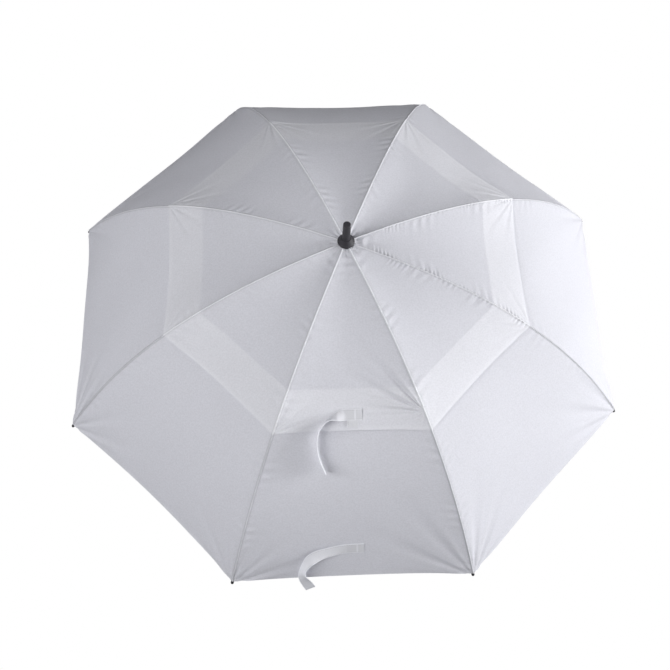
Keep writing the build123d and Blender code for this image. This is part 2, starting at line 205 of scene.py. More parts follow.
def seam_puckers(along, away, seed):
    """Small folds square to a seam: a sine along it, faded out on the seam and a few centimetres away."""
    height, step, spacing = 0.0010, 0.021, 0.14
    wander = 0.9 * np.sin(9.0 * along + seed) + 0.5 * np.sin(23.0 * along + 2.3 * seed)
    wave = np.sin(2 * np.pi * along / step + 2.2 * wander + seed)
    patch = 0.5 + 0.5 * np.sin(2 * np.pi * along / spacing + 1.7 * seed)
    fade = bump(away, 0.022) * (1 - bump(away, 0.006))
    return height * wave * patch**1.5 * fade


def stitch_ticks(along, away, rib, seed):
    """Short, close folds where the thread gathers the cloth: a sine along the seam, faded out beside it."""
    height, step, spacing = 0.0007 * TIGHT_SEAMS.get(rib, LOOSE_SEAM), 0.0092, 0.093
    wander = np.sin(31.0 * along + seed) + 0.6 * np.sin(67.0 * along + 1.7 * seed)
    wave = np.sin(2 * np.pi * along / step + 2.1 * wander)
    patch = np.clip(0.65 + 0.6 * np.sin(2 * np.pi * along / spacing + 2.6 * seed), 0, 1)
    reach = 0.008 + 0.004 * np.sin(47.0 * along + seed)
    return height * wave * patch * bump(away, reach) * (1 - bump(away, 0.0014))


def seam_ridge(away):
    """The folded cloth of a seam: a low bell on the rib and a shallow dip beside it."""
    return 0.0006 * bump(away, 0.0013) - 0.0003 * bump(away - 0.0038, 0.0014)


def corner_fan(along, away, fan, seed, strength=1.0):
    """Tension folds that fan out from a corner: a sine of the angle about it, faded with distance."""
    reach, folds, height = FANS[fan]
    distance = np.hypot(along, away) + 1e-6
    angle = np.arctan2(away, np.abs(along) + 1e-6)
    wave = np.sin(folds * angle + seed) + 0.45 * np.sin(1.9 * folds * angle + 2.1 * seed)
    fade = bump(distance, reach) * (1 - bump(distance, reach * 0.12)) * (1 - bump(away, 0.004))
    fade = fade / (1 + np.exp(-(along + 0.004) / 0.006))
    return height * strength * wave * fade


def broad_swell(s, along, phase):
    """Slow waves over a panel: three sines of the place along the rib and across the panel."""
    swell = np.sin(11 * along + 5.0 * s + phase)
    swell += 0.8 * np.sin(19 * along - 8.0 * s + 2.4 * phase)
    swell += 0.6 * np.sin(7.0 * s - 27 * along + 1.1 * phase)
    return 0.0009 * swell


def arc_at(share):
    return arc_from_shaft(np.array([share * sizes().tip_radius]))[0]


def gore_relief(gore, s, r, layer):
    """Height of folds and seams over the flat panel between two ribs. s is 0 on the first rib, 1 on the next.

    Both layers share the sag, the broad swell, the folds at the seams and the fans at the vent's corners. The
    upper layer also has gathers round the cap, and lifts towards its hem. The lower one has fans at the tips.
    """
    z = sizes()
    chord = 2 * r * sin(PITCH / 2)
    along = arc_from_shaft(r)
    middle = 4 * s * (1 - s)
    spread = np.clip(r / z.tip_radius, 0, 1)
    phase = 1.37 * gore
    relief = -z.sag * middle * np.sin(np.pi * spread**0.8) ** 0.7
    for side, share in ((0, s), (1, 1 - s)):
        away = share * chord
        rib = (gore + side) % RIBS
        seed = 2.9 * rib + 5.3 * side + phase
        corner = arc_at(z.hem_share) - CORNER_RISE.get((gore, side), 0.0)
        relief += seam_puckers(along, away, seed) + seam_ridge(away)
        relief += corner_fan(corner - along, away, "corner", seed, CORNER_FOLDS.get((gore, side), 1.0))
        if layer == "lower":
            relief += corner_fan(arc_at(1.0) - along, away, "tip", seed)
        else:
            relief += corner_fan(along - 0.02, away, "crown", seed + 2.0)
            relief += stitch_ticks(along, away, rib, seed)
    relief += broad_swell(s, along, phase) * middle * np.clip(spread * 1.6, 0, 1)
    if layer == "upper":
        gathers = np.cos(6 * np.pi * s) * bump(along - 0.026, 0.010)
        lift = np.clip((spread - z.vent_share) / (z.hem_share - z.vent_share), 0, 1.2)
        relief += 0.0006 * gathers + z.vent_lift * middle * lift**2
    return relief


def cloth_points(gore, s, r, layer, lift=0.0):
    """Points of the cloth between two ribs.

    A point lies on the straight line from one rib to the next at equal height, and is then moved along the
    panel's normal by the relief, by the layer's step and by lift.
    """
    first, second = rib_direction(gore), rib_direction(gore + 1)
    outward = (first + second) / np.linalg.norm(first + second)
    flat = (1 - s)[..., None] * first + s[..., None] * second
    base = flat * r[..., None]
    base[..., 2] = cloth_height(r)
    slope = cloth_slope(r) / cos(PITCH / 2)
    normal = -slope[..., None] * outward
    normal[..., 2] = 1.0
    normal /= np.linalg.norm(normal, axis=-1, keepdims=True)
    step = 0.0 if layer == "upper" else -sizes().layer_step
    return base + normal * (gore_relief(gore, s, r, layer) + step + lift)[..., None]


def hem_radius(layer, gore, s, share):
    """Radius at a share of the way from a layer's inner edge to its hem, which curves in between the ribs."""
    z = sizes()
    if layer == "upper":
        inner, outer, scallop = z.shaft_hole, z.hem_share * z.tip_radius, z.upper_scallop
    else:
        inner, outer = z.vent_share * z.tip_radius, z.corner_radius
        scallop = z.lower_scallop * HEM_CURVES.get(gore, 1.0)
    edge = outer - scallop * 4 * s * (1 - s)
    return inner + share * (edge - inner)


# --- meshes ---------------------------------------------------------------------------------------
def new_object(name, points, faces, uv=None, sharp=None, marks=None):
    """A mesh object from points (n, 3), quads (m, 4), and a UV, a border flag and a mark for each point."""
    mesh = bpy.data.meshes.new(name)
    mesh.vertices.add(len(points))
    mesh.vertices.foreach_set("co", np.ascontiguousarray(points, np.float32).ravel())
    mesh.loops.add(faces.size)
    mesh.loops.foreach_set("vertex_index", faces.ravel().astype(np.int32))
    mesh.polygons.add(len(faces))
    mesh.polygons.foreach_set("loop_start", np.arange(0, faces.size, 4, dtype=np.int32))
    mesh.polygons.foreach_set("use_smooth", np.ones(len(faces), bool))
    if uv is not None:
        layer = mesh.uv_layers.new(name="cloth")
        layer.data.foreach_set("uv", uv[faces.ravel()].astype(np.float32).ravel())
    if marks is not None:
        mesh.attributes.new("backed", "FLOAT", "POINT").data.foreach_set("value", marks.astype(np.float32))
    mesh.update(calc_edges=True)
    if sharp is not None:
        ends = np.empty(len(mesh.edges) * 2, np.int32)
        mesh.edges.foreach_get("vertices", ends)
        both = sharp[ends].reshape(-1, 2).all(axis=1)
        mesh.edges.foreach_set("use_edge_sharp", both)
    mesh.validate()
    piece = bpy.data.objects.new(name, mesh)
    bpy.context.scene.collection.objects.link(piece)
    return piece


def grid_faces(rows, columns, start=0, flip=False):
    """Quads of a grid of points stored row by row."""
    index = start + np.arange(rows * columns).reshape(rows, columns)
    quads = np.stack([index[:-1, :-1], index[:-1, 1:], index[1:, 1:], index[1:, :-1]], axis=-1).reshape(-1, 4)
    return quads[:, ::-1] if flip else quads


def grid_normals(grid):
    """Unit normals of a grid of points, from the cross product of its two directions."""
    down = np.gradient(grid, axis=0)
    across = np.gradient(grid, axis=1)
    normal = np.cross(across, down)
    return normal / np.maximum(np.linalg.norm(normal, axis=-1, keepdims=True), 1e-12)


def sheet_object(name, grid, normals, thickness, uv, backed=None):
    """A closed thin sheet: the grid, a copy of it moved in by the thickness, and a strip round the rim."""
    rows, columns = grid.shape[:2]
    count = rows * columns
    inner = grid - normals * thickness
    points = np.concatenate([grid.reshape(-1, 3), inner.reshape(-1, 3)])
    index = np.arange(count).reshape(rows, columns)
    loop = np.concatenate([index[0, :], index[1:, -1], index[-1, -2::-1], index[-2:0:-1, 0]])
    after = np.roll(loop, -1)
    rim = np.stack([after, loop, loop + count, after + count], axis=-1)
    outward = np.cross(grid[0, 1] - grid[0, 0], grid[1, 0] - grid[0, 0]) @ normals[0, 0] > 0
    faces = np.concatenate([
        grid_faces(rows, columns, 0, flip=not outward),
        grid_faces(rows, columns, count, flip=outward),
        rim if outward else rim[:, ::-1],
    ])
    border = np.zeros(2 * count, bool)
    border[loop] = border[loop + count] = True
    flat_uv = np.tile(uv.reshape(-1, 2), (2, 1))
    marks = None if backed is None else np.tile(backed.ravel(), 2)
    return new_object(name, points, faces, flat_uv, border, marks)


def sheet_area(grid):
    """Area of a grid of points: half the length of the cross product of each cell's diagonals."""
    one = grid[1:, 1:] - grid[:-1, :-1]
    other = grid[1:, :-1] - grid[:-1, 1:]
    return float(np.linalg.norm(np.cross(one, other), axis=-1).sum() / 2)


# --- finishes -------------------------------------------------------------------------------------
STITCH_STEP = 0.0034
LIGHT_THROUGH = 0.42  # share of the light that a single layer of cloth lets through


class Finish:
    """A node material with a short way to add and link nodes."""

    def __init__(self, name):
        self.material = bpy.data.materials.new(name)
        self.material.use_nodes = True
        self.tree = self.material.node_tree
        self.tree.nodes.clear()
        self.output = self.add("ShaderNodeOutputMaterial")

    def add(self, kind, values=None, **settings):
        node = self.tree.nodes.new(kind)
        for key, value in settings.items():
            setattr(node, key, value)
        for key, value in (values or {}).items():
            if isinstance(value, bpy.types.NodeSocket):
                self.tree.links.new(value, node.inputs[key])
            else:
                node.inputs[key].default_value = value
        return node

    def math(self, operation, a, b=0.0):
        return self.add("ShaderNodeMath", {0: a, 1: b}, operation=operation).outputs[0]

    def noise(self, vector, scale, detail=3.0):
        node = self.add("ShaderNodeTexNoise", {"Vector": vector, "Scale": scale, "Detail": detail})
        return node.outputs["Fac"]

    def near(self, value, at, within):
        """One where a value lies close to a place, and nothing elsewhere."""
        return self.math("LESS_THAN", self.math("ABSOLUTE", self.math("SUBTRACT", value, at)), within)

    def stitches(self, distance, at, travel, thread, filled):
        """Dashes along a line at a distance: a thin band times a square wave."""
        dash = self.math("LESS_THAN", self.math("FRACT", self.math("DIVIDE", travel, STITCH_STEP)), filled)
        return self.math("MULTIPLY", self.near(distance, at, thread), dash)

    def cloth_place(self):
        """Metres across from the rib or the middle line, and metres along, from the UV map."""
        parts = self.add("ShaderNodeSeparateXYZ", {0: self.add("ShaderNodeUVMap", uv_map="cloth").outputs[0]})
        return parts.outputs[0], parts.outputs[1]

    def place(self):
        return self.add("ShaderNodeTexCoord").outputs["Object"]

    def bump(self, height, strength, distance):
        values = {"Height": height, "Strength": strength, "Distance": distance}
        return self.add("ShaderNodeBump", values).outputs[0]

    def finish(self, shader):
        self.tree.links.new(shader.outputs[0], self.output.inputs[0])
        return self.material

    def mix(self, factor, a, b):
        node = self.add("ShaderNodeMix", {"Factor": factor}, data_type="RGBA")
        for socket, value in zip((node.inputs[6], node.inputs[7]), (a, b)):
            if isinstance(value, bpy.types.NodeSocket):
                self.tree.links.new(value, socket)
            else:
                socket.default_value = value
        return node.outputs[2]


def rgba(colour, scale=1.0):
    return (*(min(c * scale, 1.0) for c in colour), 1.0)


def cloth_finish(name, pale):
    """White pongee: a plain weave, paler doubled cloth, stitches at seams and hem, painted shade beside each
    seam, and light through it.

    The UV map holds metres: across from the rib, and along from the hem. The mark "backed" holds metres past
    the edge of a second layer beneath; past it the cloth lets less light through and reflects more, a painted
    brightening that stands in for the light that the second layer sends back.
    """
    f = Finish(name)
    c = colours()
    hem = sizes().hem
    past = f.add("ShaderNodeAttribute", attribute_name="backed").outputs["Fac"]
    backed = f.math("GREATER_THAN", past, 0.0)
    # Painted brightening: over the second layer the cloth lets less light through and so reflects more.
    lost = f.math("SUBTRACT", LIGHT_THROUGH, f.math("MULTIPLY", backed, 0.32 * LIGHT_THROUGH))
    across, along = f.cloth_place()
    side = f.math("ABSOLUTE", across)
    seam = f.math("LESS_THAN", side, 0.0018)
    # Painted shade: the tone darkens in a narrow band beside each seam, where its stitched groove lies.
    groove_shade = f.near(side, 0.0029, 0.0011)
    doubled = f.math("MAXIMUM", seam, f.math("MULTIPLY", f.math("LESS_THAN", along, hem), 0.2))
    seam_thread = f.stitches(side, 0.0014, along, 0.00035, 0.72)
    hem_thread = f.stitches(along, hem - 0.0015, across, 0.00035, 0.72)
    thread = f.math("MAXIMUM", seam_thread, hem_thread)
    warp = f.math("SINE", f.math("MULTIPLY", across, 2 * np.pi / 0.0006))
    weft = f.math("SINE", f.math("MULTIPLY", along, 2 * np.pi / 0.0006))
    place = f.place()
    speckle = f.noise(place, 330.0, 4.0)
    grain = f.add("ShaderNodeMapRange", {"Value": speckle, "From Min": 0.3, "From Max": 0.7})
    tone = f.mix(f.noise(place, 9.0), rgba(c.cloth, 0.985), rgba(c.cloth, 1.015))
    tone = f.mix(grain.outputs[0], f.mix(0.095, tone, (0, 0, 0, 1)), tone)
    tone = f.mix(f.math("MULTIPLY", doubled, pale), tone, rgba(c.seam))
    # Painted shade beside each seam.
    tone = f.mix(f.math("MULTIPLY", groove_shade, 0.85 - 0.5 * pale), tone, rgba(c.cloth, 0.78))
    tone = f.mix(f.math("MULTIPLY", thread, 0.5), tone, rgba(c.seam, 0.80))
    weave = f.math("MULTIPLY", f.math("MULTIPLY", warp, weft), 0.35)
    height = f.math("ADD", weave, f.math("MULTIPLY", f.noise(place, 420.0, 2.0), 0.65))
    height = f.math("SUBTRACT", height, f.math("MULTIPLY", thread, 1.5))
    height = f.math("ADD", height, f.math("MULTIPLY", doubled, 0.8))
    relief = f.bump(height, 0.35, 0.00025)
    skin = f.add("ShaderNodeBsdfPrincipled", {"Base Color": tone, "Roughness": 0.62, "Normal": relief})
    skin.inputs["Sheen Weight"].default_value = 0.12
    skin.inputs["Sheen Roughness"].default_value = 0.5
    skin.inputs["Specular IOR Level"].default_value = 0.28
    through = f.add("ShaderNodeBsdfTranslucent", {"Color": tone, "Normal": relief})
    return f.finish(f.add("ShaderNodeMixShader", {0: lost, 1: skin.outputs[0], 2: through.outputs[0]}))


def webbing_finish(name):
    """Folded cloth tape with stitches along both edges, and painted highlights along its edges and across it
    near its sewn end. The UV map holds metres across and along.
    """
    f = Finish(name)
    c = colours()
    across, along = f.cloth_place()
    side = f.math("ABSOLUTE", across)
    thread = f.stitches(side, 0.0085, along, 0.0004, 0.7)
    sewn = f.math("LESS_THAN", along, 0.034)
    # Painted highlight: the tape is lighter along both long edges and in a line across it 13.5 mm from its
    # end.
    edge = f.math("MAXIMUM", f.near(along, 0.0135, 0.0016), f.math("GREATER_THAN", side, 0.0096))
    twill = f.math("SINE", f.math("MULTIPLY", f.math("ADD", across, along), 2 * np.pi / 0.0009))
    tone = f.mix(f.noise(f.place(), 380.0, 2.0), rgba(c.strap, 0.97), rgba(c.strap, 1.02))
    tone = f.mix(f.math("MULTIPLY", sewn, 0.6), tone, rgba(c.strap, 0.93))
    tone = f.mix(f.math("MULTIPLY", edge, 0.7), tone, rgba(c.strap, 1.18))
    tone = f.mix(f.math("MULTIPLY", thread, 0.6), tone, rgba(c.strap, 0.70))
    height = f.math("SUBTRACT", f.math("MULTIPLY", twill, 0.4), f.math("MULTIPLY", thread, 1.4))
    relief = f.bump(height, 0.4, 0.0003)
    skin = f.add("ShaderNodeBsdfPrincipled", {"Base Color": tone, "Roughness": 0.66, "Normal": relief})
    through = f.add("ShaderNodeBsdfTranslucent", {"Color": tone, "Normal": relief})
    return f.finish(f.add("ShaderNodeMixShader", {0: 0.35, 1: skin.outputs[0], 2: through.outputs[0]}))


def moulded_finish(name, colour, roughness, grain, depth, metallic=0.0, coat=0.0, shine=0.5):
    """A moulded, painted or drawn surface: fine grain in its colour, roughness and relief."""
    f = Finish(name)
    place = f.place()
    fine = f.noise(place, grain)
    tone = f.mix(f.noise(place, grain / 14), rgba(colour, 0.85), rgba(colour, 1.2))
    limits = {"Value": fine, "To Min": roughness - 0.06, "To Max": roughness + 0.08}
    rough = f.add("ShaderNodeMapRange", limits).outputs[0]
    relief = f.bump(fine, 0.5, depth)
    skin = f.add("ShaderNodeBsdfPrincipled", {"Base Color": tone, "Roughness": rough, "Normal": relief})
    skin.inputs["Metallic"].default_value = metallic
    skin.inputs["Specular IOR Level"].default_value = shine
    skin.inputs["Coat Weight"].default_value = coat
    return f.finish(skin)


def foam_finish(name):
    """Closed-cell foam: small round cells in relief, with painted shade that darkens each cell's pit and
    lightens its rim.
    """
    f = Finish(name)
    cells = f.add("ShaderNodeTexVoronoi", {"Vector": f.place(), "Scale": 900.0}).outputs["Distance"]
    # Painted shade: the tone is darkest in each cell's pit and lightest at its rim, following the relief.
    tone = f.mix(cells, rgba(colours().foam, 0.7), rgba(colours().foam, 1.5))
    relief = f.bump(cells, 0.6, 0.0004)
    skin = f.add("ShaderNodeBsdfPrincipled", {"Base Color": tone, "Roughness": 0.82, "Normal": relief})
    return f.finish(skin)


def dress(piece, material):
    """Give a piece one finish in every slot."""
    mesh = piece.data
    if not len(mesh.materials):
        mesh.materials.append(material)
    for i in range(len(mesh.materials)):
        mesh.materials[i] = material


# --- canopies -------------------------------------------------------------------------------------
# Of each layer: the node it remakes, the body it rides, the share of its width that it keeps when folded, its
# rows of points, and how pale its seams are.
CLOTH_LAYERS = {
    "upper": {"node": "canopy_upper", "body": "rib_{}", "keep": 0.36, "rows": 240, "pale": 0.8},
    "lower": {"node": "canopy_lower", "body": "rib_end_{}", "keep": 0.095, "rows": 150, "pale": 0.35},
}


def cloth_material(layer):
    name = f"pongee_{layer}"
    return bpy.data.materials.get(name) or cloth_finish(name, CLOTH_LAYERS[layer]["pale"])


def panel_halves(layer, rows, columns):
    """Points and UVs of the cloth half way to the next rib on both sides of each rib.

    Columns crowd towards the rib, where the folds are small: their share is a power of their number.
    """
    share = np.linspace(0, 1, rows)[:, None]
    half = 0.5 * np.linspace(0, 1, columns) ** 1.7
    for number in range(RIBS):
        sides = []
        for gore, s in ((number - 1, 1 - half[::-1]), (number, half)):
            s = np.broadcast_to(s[None, :], (rows, columns)).copy()
            r = hem_radius(layer, gore % RIBS, s, np.broadcast_to(share, s.shape))
            grid = cloth_points(gore % RIBS, s, r, layer)
            away = np.minimum(s, 1 - s) * 2 * r * sin(PITCH / 2)
            to_hem = arc_from_shaft(hem_radius(layer, gore % RIBS, s, 1.0)) - arc_from_shaft(r)
            sign = -1.0 if gore == number - 1 else 1.0
            normals = grid_normals(grid)
            past = r - sizes().vent_share * sizes().tip_radius
            backed = past if layer == "upper" else np.full_like(r, -1.0)
            sides.append((grid, normals, np.stack([sign * away, to_hem], axis=-1), backed))
        left, right = sides
        seam_normal = left[1][:, -1:] + right[1][:, :1]
        seam_normal /= np.linalg.norm(seam_normal, axis=-1, keepdims=True)
        grid = np.concatenate([left[0][:, :-1], right[0]], axis=1)
        normals = np.concatenate([left[1][:, :-1], seam_normal, right[1][:, 1:]], axis=1)
        uv = np.concatenate([left[2][:, :-1], right[2]], axis=1)
        backed = np.concatenate([left[3][:, :-1], right[3]], axis=1)
        if normals[rows // 2, columns, 2] < 0:
            normals = -normals
        yield number, grid, normals, uv, backed


def build_canopy(layer):
    """One piece of cloth to each rib, from panel middle to panel middle."""
    facts = CLOTH_LAYERS[layer]
    rows, columns = ((facts["rows"], 44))
    material = cloth_material(layer)
    for number, grid, normals, uv, backed in panel_halves(layer, rows, columns):
        piece = sheet_object(f"canopy_{layer}_{number + 1}", grid, normals, sizes().cloth, uv, backed)
        dress(piece, material)
        area = sheet_area(grid)
        width = 2 * float(np.abs(uv[..., 0]).max())
        length = float(np.ptp(uv[..., 1]))
        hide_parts(facts["node"])
        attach(piece, facts["body"].format(number + 1))
        fold_cloth(piece, number, facts["keep"])


def fold_cloth(piece, number, keep):
    """Give the piece its own copy of its mesh."""
    out = rib_direction(number)
    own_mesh(piece)


# Each tape over the ribs: its name, the body it rides, and its first and last share of the tip radius.
RIB_TAPES = (("rib_cuff", "rib_{}", 0.575, 0.633), ("rib_tape", "rib_end_{}", 0.638, 0.975))
TAPE_WRAP = 105  # degrees that a tape goes down each side of its rib
TAPE_RISE = 0.0011  # height of the tape's ridge, which reaches up to the seam


def tape_grid(start, end):
    """A tape's distance out, to the side and up from the shaft's foot, as three arrays.

    Its section is an arc over the rod, drawn up to the seam in the middle: at an angle t from straight up, it
    lies radius * sin(t) to the side and radius * cos(t) + rise * cos(t)^6 over the rod.
    """
    z = sizes()
    rows, columns = ((80, 25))
    r = np.linspace(start * z.tip_radius, end * z.tip_radius, rows)[:, None]
    t = np.radians(np.linspace(-TAPE_WRAP, TAPE_WRAP, columns))[None, :]
    side = z.tape_radius * np.sin(t) + 0 * r
    over = z.tape_radius * np.cos(t) + TAPE_RISE * np.clip(np.cos(t), 0, 1) ** 6 + 0 * r
    slope = np.arctan(cloth_slope(r))
    depth = over - z.rib_drop
    return r - depth * np.sin(slope), side, cloth_height(r) + depth * np.cos(slope)


def build_rib_tapes(name, body, start, end):
    """A tape over part of each rib, sewn under the seam, that keeps the rod inside the folded cloth."""
    z = sizes()
    out, side, up = (part[..., None] for part in tape_grid(start, end))
    length = float(np.hypot(np.diff(out[:, 0, 0]), np.diff(up[:, 0, 0])).sum())
    uv = np.concatenate([side + 0.01, 0.1 + 0 * side], axis=-1)  # beside the seam's thread, clear of the hem
    for number in range(RIBS):
        ahead = rib_direction(number)
        aside = np.array([-ahead[1], ahead[0], 0.0])
        grid = out * ahead + side * aside + up * np.array([0.0, 0.0, 1.0])
        normals = grid_normals(grid)
        normals = normals * np.sign(normals[grid.shape[0] // 2, grid.shape[1] // 2, 2])
        tape = sheet_object(f"{name}_{number + 1}", grid, normals, z.cloth, uv)
        dress(tape, cloth_material("lower"))
        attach(tape, body.format(number + 1))


# --- tie straps -----------------------------------------------------------------------------------
# Each strap's middle line: metres along the hem from the panel's middle, share of the tip
# radius, height off the cloth in metres, and how far the strap is turned on edge, from 0, flat, to 1.
KEEPER_STRIP = ((0.0005, 0.556, 0.0006, 0.0), (0.0005, 0.584, 0.0006, 0.0), (0.0005, 0.6025, 0.0006, 0.0))
UPPER_STRAP = (
    (0.019, 0.566, 0.0014, 0.0),
    (0.000, 0.566, 0.0014, 0.0),
    (-0.014, 0.566, 0.0016, 0.03),
    (-0.024, 0.568, 0.0050, 0.30),
    (-0.033, 0.571, 0.0090, 0.66),
    (-0.043, 0.576, 0.0120, 0.95),
    (-0.054, 0.588, 0.0125, 1.0),
    (-0.063, 0.607, 0.0125, 1.0),
    (-0.067, 0.630, 0.0125, 1.0),
    (-0.067, 0.656, 0.0125, 1.0),
    (-0.063, 0.684, 0.0125, 0.98),
    (-0.053, 0.718, 0.0120, 0.95),
)
LOWER_STRAP = (
    (0.021, 0.922, 0.0012, 0.0),
    (0.002, 0.922, 0.0012, 0.0),
    (-0.021, 0.923, 0.0016, 0.0),
    (-0.045, 0.926, 0.0045, 0.06),
    (-0.068, 0.930, 0.0085, 0.20),
    (-0.086, 0.939, 0.0120, 0.52),
    (-0.097, 0.953, 0.0130, 0.80),
    (-0.101, 0.969, 0.0120, 0.62),
    (-0.100, 0.984, 0.0090, 0.26),
    (-0.094, 0.998, 0.0065, 0.06),
    (-0.086, 1.012, 0.0060, 0.0),
)


def smooth_line(points, samples):
    """A curve through the points: each stretch is the cubic that meets its neighbours' mean slopes."""
    p = np.array(points, float)
    slope = np.gradient(p, axis=0)
    t = np.linspace(0, len(p) - 1, samples)
    i = np.minimum(t.astype(int), len(p) - 2)
    u = (t - i)[:, None]
    return (
        (2 * u**3 - 3 * u**2 + 1) * p[i]
        + (u**3 - 2 * u**2 + u) * slope[i]
        + (3 * u**2 - 2 * u**3) * p[i + 1]
        + (u**3 - u**2) * slope[i + 1]
    )


def strap_grid(route, layer):
    """A flat band carried along the route. On edge, its width turns from the cloth's face to its normal."""
    z = sizes()
    line = smooth_line(route, 120)
    x, share, lift, on_edge = line.T
    r = share * z.tip_radius
    chord = 2 * r * sin(PITCH / 2)
    s = 0.5 + x / chord
    centre = cloth_points(FRONT_GORE, s, r, layer, lift)
    raised = cloth_points(FRONT_GORE, s, r, layer, lift + 0.001)
    normal = raised - centre
    normal /= np.linalg.norm(normal, axis=1, keepdims=True)
    ahead = np.gradient(centre, axis=0)
    ahead /= np.linalg.norm(ahead, axis=1, keepdims=True)
    beside = np.cross(ahead, normal)
    beside /= np.linalg.norm(beside, axis=1, keepdims=True)
    angle = (on_edge * np.pi / 2)[:, None]
    across = beside * np.cos(angle) - normal * np.sin(angle)
    face = np.cross(across, ahead)
    offsets = np.linspace(-0.5, 0.5, 9) * z.strap_width
    grid = centre[:, None, :] + offsets[None, :, None] * across[:, None, :]
    along = np.concatenate([[0.0], np.cumsum(np.linalg.norm(np.diff(centre, axis=0), axis=1))])
    uv = np.stack(np.broadcast_arrays(offsets[None, :], along[:, None]), axis=-1)
    return grid, np.broadcast_to(face[:, None, :], grid.shape), uv


def build_strap(name, route, layer, body):
    """A strap along its route, which rides one rib's length."""
    thickness = sizes().strap_thickness
    grid, normals, uv = strap_grid(route, layer)
    normals = -normals if normals[0, 0, 2] < 0 else normals
    strap = sheet_object(name, grid + normals * thickness / 2, normals, thickness, uv)
    dress(strap, bpy.data.materials.get("strap_tape") or webbing_finish("strap_tape"))
    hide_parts(name.rpartition("_")[0])
    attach(strap, body)
    fold_cloth(strap, FRONT_GORE, CLOTH_LAYERS[layer]["keep"])


# --- operators ------------------------------------------------------------------------------------
class UMBRELLA_OT_upper_canopy(bpy.types.Operator):
    """Sew the upper canopy, which covers the vent"""

    bl_idname = "umbrella.upper_canopy"
    bl_label = "Upper canopy"

    def execute(self, context):
        build_canopy("upper")
        return {"FINISHED"}


class UMBRELLA_OT_lower_canopy(bpy.types.Operator):
    """Sew the lower canopy, from the vent hole to the rib tips"""

    bl_idname = "umbrella.lower_canopy"
    bl_label = "Lower canopy"

    def execute(self, context):
        build_canopy("lower")
        return {"FINISHED"}


class UMBRELLA_OT_rib_tapes(bpy.types.Operator):
    """Sew a cuff and a tape over each rib, under the seams"""

    bl_idname = "umbrella.rib_tapes"
    bl_label = "Rib tapes"

    def execute(self, context):
        for tape in RIB_TAPES:
            build_rib_tapes(*tape)
        return {"FINISHED"}


class UMBRELLA_OT_tie_straps(bpy.types.Operator):
    """Lay the two tie straps on the front panel"""

    bl_idname = "umbrella.tie_straps"
    bl_label = "Tie straps"

    def execute(self, context):
        build_strap("tie_strap_upper_keeper", KEEPER_STRIP, "upper", f"rib_{FRONT_GORE + 1}")
        build_strap("tie_strap_upper_tape", UPPER_STRAP, "upper", f"rib_{FRONT_GORE + 1}")
        build_strap("tie_strap_lower_tape", LOWER_STRAP, "lower", f"rib_end_{FRONT_GORE + 1}")
        return {"FINISHED"}


class UMBRELLA_OT_finishes(bpy.types.Operator):
    """Give every part of the frame its paint, plastic, foam or steel"""

    bl_idname = "umbrella.finishes"
    bl_label = "Finishes"

    def execute(self, context):
        c = colours()
        by_slot = {
            "shaft_paint": moulded_finish("black_lacquer", c.black, 0.28, 700.0, 0.00004, coat=0.4),
            "glass_fibre": moulded_finish("glass_fibre_rod", c.black, 0.34, 900.0, 0.00006, coat=0.2),
            "black_plastic": moulded_finish("black_nylon", c.black, 0.45, 1100.0, 0.00010),
            "cap_plastic": moulded_finish("charcoal_cap", c.cap, 0.50, 900.0, 0.00008, shine=0.25),
            "tip_plastic": moulded_finish("black_tip", c.black, 0.30, 900.0, 0.00005),
            "button_plastic": moulded_finish("grey_button", c.button, 0.35, 900.0, 0.00006),
            "steel": moulded_finish("drawn_steel", c.steel, 0.30, 1500.0, 0.00003, metallic=1.0),
            "foam": foam_finish("closed_cell_foam"),
        }
        for part in frame["record"]["subparts"]:
            if part["material_slot"] in by_slot:
                dress(bpy.data.objects[part["node"]], by_slot[part["material_slot"]])
        return {"FINISHED"}


class UMBRELLA_OT_studio(bpy.types.Operator):
    """Set the floor, the soft lights and the camera"""

    bl_idname = "umbrella.studio"
    bl_label = "Studio"

    def execute(self, context):
        set_camera(context)
        set_floor(context)
        set_lights(context)
        set_surround(context)
        context.scene.view_settings.view_transform = "Standard"
        return {"FINISHED"}


class UMBRELLA_PT_panel(bpy.types.Panel):
    """The umbrella's pieces and sizes"""

    bl_label = "Golf umbrella"
    bl_idname = "UMBRELLA_PT_panel"
    bl_space_type = "VIEW_3D"
    bl_region_type = "UI"
    bl_category = "Umbrella"

    def draw(self, context):
        for operator in PIECES:
            self.layout.operator(operator.bl_idname)
        scene = context.scene
        for group in (scene.umbrella_sizes, scene.umbrella_colours, scene.umbrella_studio):
            box = self.layout.box()
            for key in group.__annotations__:
                box.prop(group, key)


# --- studio ---------------------------------------------------------------------------------------
def set_camera(context):
    """Stand the camera at its distance and height, aim at the dome's middle, then pan, tilt and roll."""
    st = context.scene.umbrella_studio
    z = sizes()
    target = Vector((0, 0, CANOPY_TOP - z.dome / 2))
    swing = Matrix.Rotation(st.swing, 3, "Z")
    back = swing @ Vector((0, -cos(st.elevation), sin(st.elevation)))
    right = swing @ Vector((1, 0, 0))
    ahead = -back
    up = right.cross(ahead)
    ahead, right = ahead * cos(st.pan) - right * sin(st.pan), right * cos(st.pan) + ahead * sin(st.pan)
    ahead, up = ahead * cos(st.tilt) + up * sin(st.tilt), up * cos(st.tilt) - ahead * sin(st.tilt)
    right, up = right * cos(st.roll) + up * sin(st.roll), up * cos(st.roll) - right * sin(st.roll)
    data = bpy.data.cameras.new("camera")
    data.sensor_width = 36.0
    data.lens = st.lens
    camera = bpy.data.objects.new("camera", data)
    turn = Matrix((right, up, -ahead)).transposed().to_4x4()
    camera.matrix_world = Matrix.Translation(target + back * st.distance) @ turn
    context.scene.collection.objects.link(camera)
    context.scene.camera = camera


